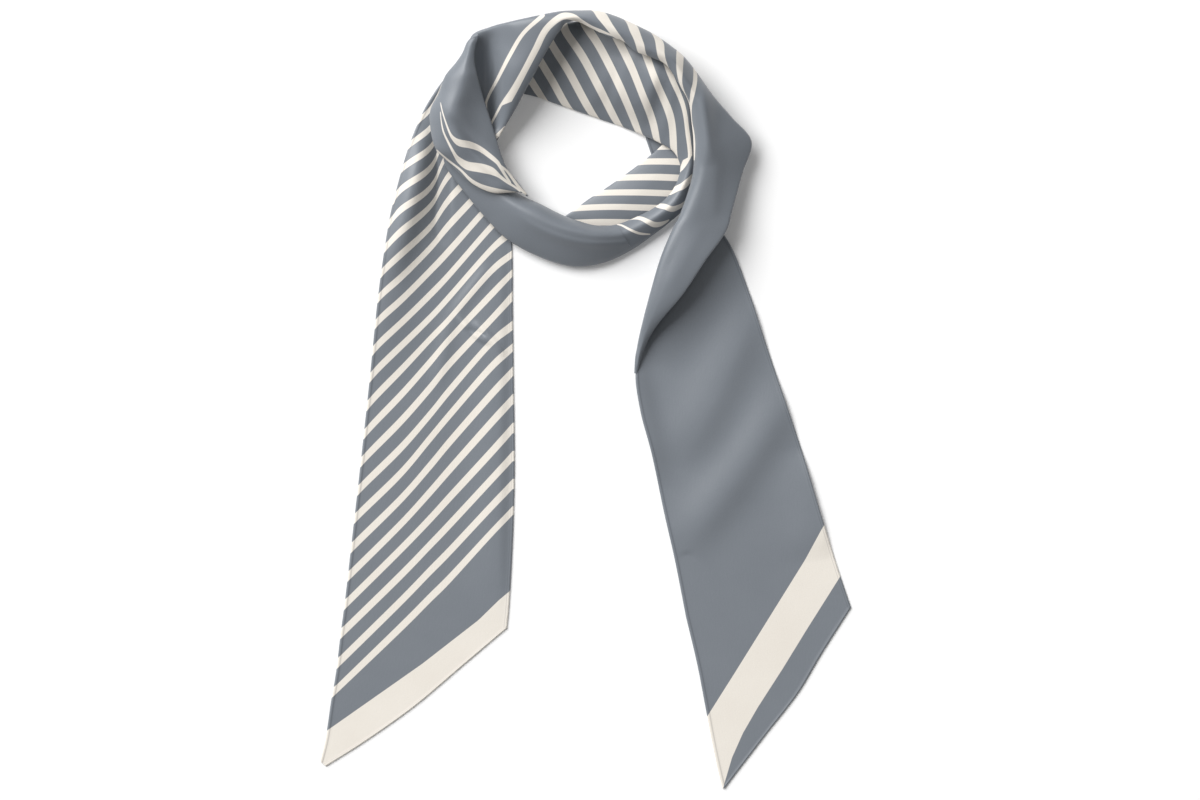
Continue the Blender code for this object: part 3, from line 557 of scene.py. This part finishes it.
def girth(points, axis):
    """How far each point of a grid is along its row or column, measured on the cloth."""
    steps = np.linalg.norm(np.diff(points[..., :3], axis=axis), axis=-1)
    start = np.zeros_like(np.take(steps, [0], axis=axis))
    return np.concatenate([start, np.cumsum(steps, axis=axis)], axis=axis)


def end_stripes(points):
    """The stripe's number at each point of the striped end.

    A stripe is a smooth curve in plan through its mark on the left edge and its marks farther across.
    Close to the left edge it drops, as the cloth rounds down there: by rounded times e to the power of
    minus the distance over CURVE. The number comes from the stripes just above and just below the point.
    """
    left = points[::-1, 0]
    numbers = column(END_STRIPES, END_STRIPE_COLUMNS, "stripe")[:, 0]
    marks = column(END_STRIPES, END_STRIPE_COLUMNS, *END_STRIPE_COLUMNS[1:-1])
    rounded = column(END_STRIPES, END_STRIPE_COLUMNS, "rounded")[:, 0]
    x, y = points[..., 0], points[..., 1]
    inside = x - np.interp(y, left[:, 1], left[:, 0])
    drop = np.exp(-np.maximum(inside, 0) / CURVE)
    along = np.linspace(0, len(END_MARKS), 10 * len(END_MARKS) + 1)
    lines = []
    for mark, fall in zip(marks, rounded):
        edge_x = min(np.interp(mark[0], left[:, 1], left[:, 0]), END_MARKS[0] - MARK_GAP)
        path = spline(np.column_stack([[edge_x, *END_MARKS], mark]), along)
        lines.append(np.interp(x, path[:, 0], path[:, 1]) - fall * drop)
    lines = np.stack(lines, axis=-1)
    above = np.clip((lines < y[..., None]).sum(axis=-1), 1, len(END_STRIPES) - 1)
    low = np.take_along_axis(lines, above[..., None] - 1, axis=-1)[..., 0]
    high = np.take_along_axis(lines, above[..., None], axis=-1)[..., 0]
    part = (y - low) / (high - low)
    number = numbers[above - 1] * (1 - part) + numbers[above] * part
    return np.maximum(number, END_START)


def placed(points, stripes):
    """How far inside the nearest placed stripe a point is, in plan: half its width less the distance.

    A stripe's middle and its width are splines through its points.
    """
    inside = np.full(points.shape[:-1], NO_PRINT)
    for stripe in stripes:
        stripe = spline(np.array(stripe), np.linspace(0, len(stripe) - 1, 5 * len(stripe) - 4))
        for (x0, y0, width0), (x1, y1, width1) in zip(stripe[:-1], stripe[1:]):
            line = np.array([x1 - x0, y1 - y0])
            away = points[..., :2] - np.array([x0, y0])
            t = np.clip((away @ line) / (line @ line), 0, 1)
            distance = np.linalg.norm(away - t[..., None] * line, axis=-1)
            inside = np.maximum(inside, (width0 + (width1 - width0) * t) / 2 - distance)
    return inside


def over_edges(print_):
    """A roll's print carried straight on from its two silhouettes over its tucked sides."""
    print_ = print_.copy()
    print_[:, :TUCK_CELLS] = print_[:, TUCK_CELLS : TUCK_CELLS + 1]
    print_[:, -TUCK_CELLS:] = print_[:, -TUCK_CELLS - 1 : -TUCK_CELLS]
    return print_


def below(points, line):
    """How far below a line in plan each point is, in millimetres, above nought beneath it.

    It is the drop from the line at the point's x, over the root of one plus the line's slope squared.
    """
    line = np.array(sorted(line))
    slope = np.gradient(line[:, 1], line[:, 0])
    height = np.interp(points[..., 0], line[:, 0], line[:, 1])
    slope = np.interp(points[..., 0], line[:, 0], slope)
    return np.clip((height - points[..., 1]) / np.sqrt(1 + slope**2), NO_PRINT, -NO_PRINT)


def cells(grid):
    """The four corners of each cell of a grid of point numbers."""
    corners = [grid[:-1, :-1], grid[1:, :-1], grid[1:, 1:], grid[:-1, 1:]]
    return np.stack(corners, axis=-1).reshape(-1, 4)


def shell(name, points, stripe, print_, finish, node):
    """A thin closed shell about a grid of points, with its prints as attributes and its cloth as UVs.

    Half its thickness is the silk's, plus a rolled hem's bell beside each long edge, and it rounds off
    as a quarter circle over the rim.
    """
    points = points[..., :3]
    normal = np.cross(np.gradient(points, axis=1), np.gradient(points, axis=0))
    normal = normal / np.linalg.norm(normal, axis=2, keepdims=True)
    across = girth(points, 1)
    along = np.broadcast_to(girth(points, 0).mean(axis=1)[:, None], across.shape)
    width = across[:, -1:]
    half = np.full(across.shape, SILK)
    for from_hem in (across, width - across):
        half += HEM * np.exp(-(((from_hem - HEM_MIDDLE) / HEM_SPREAD) ** 2))
    from_edge = np.minimum(across, width - across)
    half *= np.sqrt(1 - (1 - np.clip(from_edge / RIM, RIM_START, 1)) ** 2)
    offset = normal * half[..., None]
    sides = np.stack([points + offset, points - offset])
    sides[..., 2] = np.maximum(sides[..., 2], 0)
    upper, lower = np.arange(sides[..., 0].size).reshape(sides.shape[:3])
    border = np.concatenate([upper[:-1, 0], upper[-1, :-1], upper[:0:-1, -1], upper[0, :0:-1]])
    under = border + upper.size
    rim = np.column_stack([np.roll(border, -1), np.roll(under, -1), under, border])
    faces = np.concatenate([cells(upper)[:, ::-1], cells(lower), rim])
    mesh = bpy.data.meshes.new(name)
    mesh.from_pydata((sides.reshape(-1, 3) * MM).tolist(), [], faces.tolist())
    mesh.shade_smooth()
    mesh.set_sharp_from_angle(angle=SHARP)
    for key, values in (("stripe", stripe), ("print", print_), ("hem", from_edge)):
        attribute = mesh.attributes.new(key, "FLOAT", "POINT")
        values = np.broadcast_to(values, across.shape)
        attribute.data.foreach_set("value", np.tile(values.ravel(), 2).astype(np.float32))
    cloth = np.tile(np.stack([across, along], axis=-1).reshape(-1, 2) * MM, (2, 1))
    layer = mesh.uv_layers.new(name="cloth")
    layer.data.foreach_set("uv", cloth[faces.ravel()].astype(np.float32).ravel())
    mesh.materials.append(finish)
    piece = bpy.data.objects.new(name, mesh)
    bpy.context.scene.collection.objects.link(piece)
    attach(piece, "root")
    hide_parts(node)
    return piece


class Number:
    """A number that varies over a material. Arithmetic on it adds Math nodes."""

    def __init__(self, mixer, socket):
        self.mixer, self.socket = mixer, socket

    def maths(self, operation, *values):
        node = self.mixer.node("ShaderNodeMath", {"operation": operation}, dict(enumerate(values)))
        return Number(self.mixer, node.outputs[0])

    def __add__(self, other):
        return self.maths("ADD", self, other)

    def __radd__(self, other):
        return self.maths("ADD", other, self)

    def __sub__(self, other):
        return self.maths("SUBTRACT", self, other)

    def __rsub__(self, other):
        return self.maths("SUBTRACT", other, self)

    def __mul__(self, other):
        return self.maths("MULTIPLY", self, other)

    def __rmul__(self, other):
        return self.maths("MULTIPLY", other, self)

    def __abs__(self):
        return self.maths("ABSOLUTE", self)

    def fraction(self):
        return self.maths("FRACT", self)

    def larger(self, other):
        return self.maths("MAXIMUM", self, other)

    def step(self, low, high):
        """Nought below low, one above high, and a smooth rise between."""
        node = self.mixer.node(
            "ShaderNodeMapRange",
            {"interpolation_type": "SMOOTHSTEP"},
            {"Value": self, "From Min": low, "From Max": high, "To Min": 0.0, "To Max": 1.0},
        )
        return Number(self.mixer, node.outputs["Result"])


class Mixer:
    """A material being mixed, with one way to add a node."""

    def __init__(self, name):
        self.material = bpy.data.materials.new(name)
        self.material.use_nodes = True
        self.nodes = self.material.node_tree.nodes
        self.shader = self.nodes["Principled BSDF"]

    def node(self, kind, settings, values):
        """A node of this kind, with its settings made first and then its sockets' values or links."""
        node = self.nodes.new(kind)
        for key, value in settings.items():
            setattr(node, key, value)
        self.fill(node, values)
        return node

    def fill(self, node, values):
        for key, value in values.items():
            value = value.socket if isinstance(value, Number) else value
            if isinstance(value, bpy.types.NodeSocket):
                self.material.node_tree.links.new(value, node.inputs[key])
            else:
                node.inputs[key].default_value = value

    def attribute(self, name):
        node = self.node("ShaderNodeAttribute", {"attribute_name": name}, {})
        return Number(self, node.outputs["Fac"])

    def noise(self, place, scale, detail, stretch=(1.0, 1.0, 1.0)):
        """Noise, centred on nought, from about minus a half to a half."""
        mapping = self.node("ShaderNodeMapping", {}, {"Vector": place, "Scale": stretch})
        node = self.node(
            "ShaderNodeTexNoise",
            {},
            {"Vector": mapping.outputs[0], "Scale": scale, "Detail": detail, "Roughness": 0.5},
        )
        return Number(self, node.outputs["Fac"]) - 0.5

    def blend(self, part, first, second, kind="MIX"):
        """A colour between two, by part."""
        settings = {"data_type": "RGBA", "blend_type": kind}
        return self.node("ShaderNodeMix", settings, {0: part, 6: first, 7: second}).outputs[2]


def silk(name, cream_share):
    """Slate silk printed in cream: stripes are cream over a share of their spacing, borders wholly.

    The weave is a fine twill that only the bump shows, and the cloth's body shifts a little in tone.
    Both kinds of print have soft edges: bleed is half an edge's width, in stripes, and blur the same
    in millimetres.
    """
    bleed, blur = 0.010, 0.12
    mix = Mixer(name)
    cloth = mix.node("ShaderNodeUVMap", {"uv_map": "cloth"}, {}).outputs[0]
    stripe = mix.attribute("stripe")
    off_middle = abs((stripe + 0.5).fraction() - 0.5)
    striped = 1 - off_middle.step(cream_share / 2 - bleed, cream_share / 2 + bleed)
    printed = mix.attribute("print").step(-blur, blur)
    cream = striped.larger(printed)
    grain = mix.noise(cloth, 1300.0, 2.0)
    tone = (mix.noise(cloth, 26.0, 3.0) * 0.7 + grain * 0.9 + 0.5).step(0.0, 1.0)
    slate = mix.blend(tone, (*SLATE_DEEP, 1), (*SLATE, 1))
    pale = mix.blend(tone, (*CREAM_DEEP, 1), (*CREAM, 1))
    twill = mix.noise(cloth, 900.0, 1.0, (1.0, 0.25, 1.0))
    slub = mix.noise(cloth, 60.0, 4.0)
    bump = mix.node(
        "ShaderNodeBump",
        {},
        {"Strength": 0.35, "Distance": 0.0004, "Height": twill * 0.35 + slub * 0.65},
    )
    # Painted shadow of the stitch line: a thin band STITCHES in from each long edge is darkened by
    # STITCH_SHADE.
    stitch_shadow = 1 - abs(mix.attribute("hem") - STITCHES).step(0.15, 0.55)
    printed_silk = mix.blend(cream, slate, pale)
    shadowed = mix.blend(1.0, printed_silk, (*STITCH_SHADE, 1), "MULTIPLY")
    mix.fill(
        mix.shader,
        {
            "Base Color": mix.blend(stitch_shadow, printed_silk, shadowed),
            "Roughness": 0.42 + slub * 0.10 + cream * 0.30,
            "Normal": bump.outputs[0],
            "Sheen Weight": 0.10,
            "Sheen Roughness": 0.5,
            "Specular IOR Level": 0.45,
        },
    )
    return mix.material


plain_silk = silk("plain_silk", cream_share=0.38)
end_silk = silk("striped_end_silk", cream_share=0.37)
loop_silk = silk("striped_loop_silk", cream_share=0.41)

# The two ends.
tail_striped = end_middle(TAIL_STRIPED)
tail_numbers = end_stripes(tail_striped)
tail_border = below(tail_striped, STRIPED_BORDER)
tail_plain = end_middle(TAIL_PLAIN)
plain_border = np.minimum(below(tail_plain, PLAIN_BORDER_TOP), -below(tail_plain, PLAIN_BORDER_FOOT))
under = end_middle(COLLAR_UNDER)

# The two turns.
first_turn, first_places = roll_middle(FIRST_TURN, FIRST_STRIPES)
second_turn, second_places = roll_middle(SECOND_TURN, SECOND_STRIPES)
inner_turn, _ = roll_middle(INNER_TURN, INNER_STRIPES)
left_turn, _ = roll_middle(LEFT_TURN, len(LEFT_TURN) * ((PLAIN, PLAIN, PLAIN),))
second_turn[..., 3] = np.clip(second_turn[..., 3], OUTER_START, OUTER_STOP)

# Their stretches, and the prints of those whose stripes run over their edges.
front = folded(stretch(first_turn, first_places, 0, TWIST_ROW), COLLAR_FRONT_FOLDS)
twist = stretch(first_turn, first_places, TWIST_ROW, BACK_ROW)
back = folded(stretch(first_turn, first_places, BACK_ROW, len(FIRST_TURN)), COLLAR_BACK_FOLDS)
flap = folded(stretch(second_turn, second_places, 0, OUTER_ROW), COLLAR_FLAP_FOLDS)
outer = stretch(second_turn, second_places, OUTER_ROW, SHOULDER_ROW)
shoulder = stretch(second_turn, second_places, SHOULDER_ROW, len(SECOND_TURN))
shoulder = folded(shoulder, SHOULDER_FOLDS)
left = folded(left_turn, COLLAR_LEFT_FOLDS)
broad_print = np.minimum(placed(flap, (BROAD_STRIPE,)), -below(flap, BROAD_STRIPE_FOOT))
flap_print = over_edges(np.maximum(broad_print, placed(flap, FLAP_STRIPES)))
outer_print = over_edges(placed(outer, (BROAD_STRIPE, *FLAP_STRIPES, *SHOULDER_STRIPES)))

PIECES = (
    # name, points, stripe, print, finish, node, slot
    ("silk_tail_striped", folded(tail_striped, TAIL_STRIPED_FOLDS), tail_numbers, tail_border,
     end_silk, "tail_striped", "striped_silk"),
    ("silk_tail_plain", folded(tail_plain, TAIL_PLAIN_FOLDS), PLAIN, plain_border,
     plain_silk, "tail_plain", "plain_silk"),
    ("silk_collar_under", under, PLAIN, NO_PRINT, plain_silk, "collar_under", "plain_silk"),
    ("silk_collar_front", front, PLAIN, NO_PRINT, plain_silk, "collar_front", "plain_silk"),
    ("silk_collar_twist", twist, PLAIN, placed(twist, TWIST_STRIPES),
     loop_silk, "collar_twist", "striped_silk"),
    ("silk_collar_back", back, back[..., 3], NO_PRINT, loop_silk, "collar_back", "striped_silk"),
    ("silk_collar_inner", inner_turn, inner_turn[..., 3], NO_PRINT,
     loop_silk, "collar_inner", "striped_silk"),
    ("silk_collar_left", left, PLAIN, placed(left, LEFT_STRIPES),
     loop_silk, "collar_left", "striped_silk"),
    ("silk_collar_flap", flap, PLAIN, flap_print, loop_silk, "collar_flap", "striped_silk"),
    ("silk_collar_outer", outer, outer[..., 3], outer_print,
     loop_silk, "collar_outer", "striped_silk"),
    ("silk_shoulder", shoulder, PLAIN, placed(shoulder, SHOULDER_STRIPES),
     plain_silk, "shoulder_right", "plain_silk"),
)

# What each piece lies on; the rest lie on the surface.
RESTS_ON = {name: () for name, *_ in PIECES}
RESTS_ON["silk_collar_front"] = ("silk_tail_striped",)
RESTS_ON["silk_collar_twist"] = ("silk_collar_front",)
RESTS_ON["silk_collar_left"] = ("silk_collar_front",)
RESTS_ON["silk_collar_flap"] = ("silk_collar_back",)
RESTS_ON["silk_collar_outer"] = ("silk_collar_back",)
RESTS_ON["silk_shoulder"] = ("silk_tail_plain",)

for name, points, stripe, print_, finish, node, slot in PIECES:
    piece = shell(name, points, stripe, print_, finish, node)
    "laid" if "tail" in name else "folded"

# The surface it lies on, the light and the camera. These are in metres.
FLOOR_REACH = 4  # from its middle to its sides
FLOOR_TOP = -0.0002
CAMERA_PLACE = (0.00967, -0.00033, 12.0)
SENSOR, FOCUS = 36, 540  # the lens, in millimetres: long, so that little shows at a slant

corners = ((-1, -1), (1, -1), (1, 1), (-1, 1))
floor_mesh = bpy.data.meshes.new("floor")
floor_mesh.from_pydata(
    [(FLOOR_REACH * x, FLOOR_REACH * y, FLOOR_TOP) for x, y in corners], [], [(0, 1, 2, 3)]
)
floor = bpy.data.objects.new("floor", floor_mesh)
floor_mix = Mixer("floor_white")
floor_mix.fill(
    floor_mix.shader,
    {
        "Base Color": (0.93, 0.93, 0.93, 1),
        "Roughness": 0.9,
        "Specular IOR Level": 0.0,
        "Emission Color": (1.0, 0.99, 0.975, 1),
        "Emission Strength": 0.05,
    },
)
floor_mesh.materials.append(floor_mix.material)
bpy.context.scene.collection.objects.link(floor)


def lamp(name, place, size, watts):
    """A square soft light, aimed at the middle of the scarf."""
    data = bpy.data.lights.new(name, "AREA")
    data.energy, data.size = watts, size
    light = bpy.data.objects.new(name, data)
    light.location = place
    light.rotation_euler = (-light.location).to_track_quat("-Z", "Y").to_euler()
    bpy.context.scene.collection.objects.link(light)


lamp("key", place=(-4.55, 4.25, 5.6), size=6.6, watts=1060)
lamp("fill", place=(1.6, -0.6, 2.4), size=2.0, watts=4)
world = bpy.data.worlds.new("soft_room")
world.use_nodes = True
world.node_tree.nodes["Background"].inputs["Color"].default_value = (1, 1, 1, 1)
world.node_tree.nodes["Background"].inputs["Strength"].default_value = 0.23
bpy.context.scene.world = world
bpy.context.scene.view_settings.view_transform = "Standard"

lens = bpy.data.cameras.new("camera")
lens.sensor_width = SENSOR
lens.lens = FOCUS
lens.clip_end = 30
camera = bpy.data.objects.new("camera", lens)
camera.location = CAMERA_PLACE
bpy.context.scene.collection.objects.link(camera)
bpy.context.scene.camera = camera
